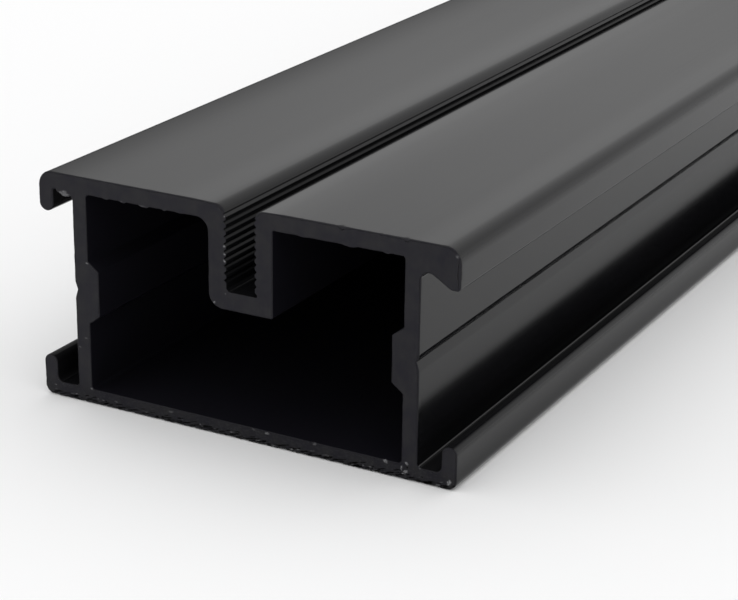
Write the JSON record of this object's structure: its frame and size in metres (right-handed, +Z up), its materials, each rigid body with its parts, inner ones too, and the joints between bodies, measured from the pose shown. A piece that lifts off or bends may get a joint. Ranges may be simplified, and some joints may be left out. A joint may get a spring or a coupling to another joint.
{
  "type": "aluminium extrusion profile",
  "caption": "Black anodised aluminium joist profile: closed box section with overhanging top flanges, a serrated screw channel along the top and a base plate with upturned lips.",
  "frame": {"origin": "middle of the bar's length and width, on the underside of the base plate", "axes": "+Y along the bar's length, +X across its width, +Z up from the underside to the top flanges"},
  "size_m": [0.0604, 2, 0.0308],
  "materials": {
    "black_anodised": "satin black anodised, sawn ends"
  },
  "bodies": {
    "root": {"joist_profile": "black_anodised"}
  },
  "joints": []
}
